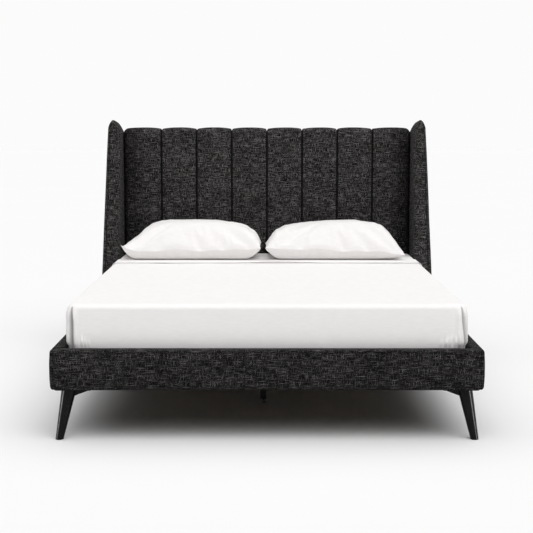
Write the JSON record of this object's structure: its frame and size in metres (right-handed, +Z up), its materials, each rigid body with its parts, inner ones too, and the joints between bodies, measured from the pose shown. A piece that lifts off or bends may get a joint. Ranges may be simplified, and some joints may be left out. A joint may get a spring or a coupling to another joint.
{
  "type": "upholstered bed",
  "caption": "Queen bed with a channelled wing headboard, padded rails on splayed legs, slats on a centre beam, a mattress with two sheets, and pillows.",
  "frame": {"origin": "on the floor, under the middle of the whole bed's box", "axes": "+Y from the foot rail to the headboard, +Z up, +X to the right seen from the foot"},
  "size_m": [1.726, 2.201, 1.2247],
  "materials": {
    "tweed": "matte",
    "back_lining": "matte",
    "timber": "matte",
    "plywood": "matte",
    "leg_black": "satin",
    "black_steel": "satin",
    "black_plastic": "matte",
    "zinc": "satin",
    "webbing": "matte",
    "ticking": "matte",
    "linen": "matte"
  },
  "bodies": {
    "bed_frame": {"beam_hanger_foot": "black_steel", "beam_hanger_head": "black_steel", "centre_beam": "black_steel", "centre_leg_bolts": "zinc", "centre_leg_front": "black_steel", "centre_leg_plugs": "black_plastic", "centre_leg_rear": "black_steel", "corner_block_front_left": "timber", "corner_block_front_right": "timber", "corner_block_rear_left": "timber", "corner_block_rear_right": "timber", "foot_rail_core": "timber", "foot_rail_cover": "tweed", "frame_bolts": "zinc", "head_cross_rail": "timber", "headboard_back_cover": "back_lining", "headboard_bottom_rail": "timber", "headboard_channel_1": "tweed", "headboard_channel_2": "tweed", "headboard_channel_3": "tweed", "headboard_channel_4": "tweed", "headboard_channel_5": "tweed", "headboard_channel_6": "tweed", "headboard_channel_7": "tweed", "headboard_channel_8": "tweed", "headboard_middle_rail": "timber", "headboard_panel": "plywood", "headboard_post_left": "timber", "headboard_post_right": "timber", "headboard_top_rail": "timber", "leg_bracket_front_left": "black_steel", "leg_bracket_front_right": "black_steel", "leg_bracket_rear_left": "black_steel", "leg_bracket_rear_right": "black_steel", "leg_front_left": "leg_black", "leg_front_right": "leg_black", "leg_glides": "black_plastic", "leg_rear_left": "leg_black", "leg_rear_right": "leg_black", "side_rail_core_left": "timber", "side_rail_core_right": "timber", "side_rail_cover_left": "tweed", "side_rail_cover_right": "tweed", "slat_ledge_left": "timber", "slat_ledge_right": "timber", "slat_straps": "webbing", "slats": "plywood", "wing_core_left": "plywood", "wing_core_right": "plywood", "wing_pad_left": "tweed", "wing_pad_right": "tweed", "wood_screws": "zinc"},
    "mattress": {"mattress": "ticking", "fitted_sheet": "linen", "top_sheet": "linen"},
    "pillow_left": {"pillow_left": "linen"},
    "pillow_right": {"pillow_right": "linen"},
    "levelling_foot_front": {"levelling_foot_front": "black_plastic"},
    "levelling_foot_rear": {"levelling_foot_rear": "black_plastic"}
  },
  "joints": [
    {"name": "mattress_lift", "type": "slide", "parent": "bed_frame", "child": "mattress", "axis": [0, 0, 1], "range_m": [0, 1]},
    {"name": "pillow_left_lift", "type": "slide", "parent": "mattress", "child": "pillow_left", "axis": [0, 0, 1], "range_m": [0, 0.75]},
    {"name": "pillow_right_lift", "type": "slide", "parent": "mattress", "child": "pillow_right", "axis": [0, 0, 1], "range_m": [0, 0.75]},
    {"name": "levelling_foot_front_adjust", "type": "slide", "parent": "bed_frame", "child": "levelling_foot_front", "axis": [0, 0, 1], "range_m": [-0.01, 0.01]},
    {"name": "levelling_foot_rear_adjust", "type": "slide", "parent": "bed_frame", "child": "levelling_foot_rear", "axis": [0, 0, 1], "range_m": [-0.01, 0.01]}
  ]
}
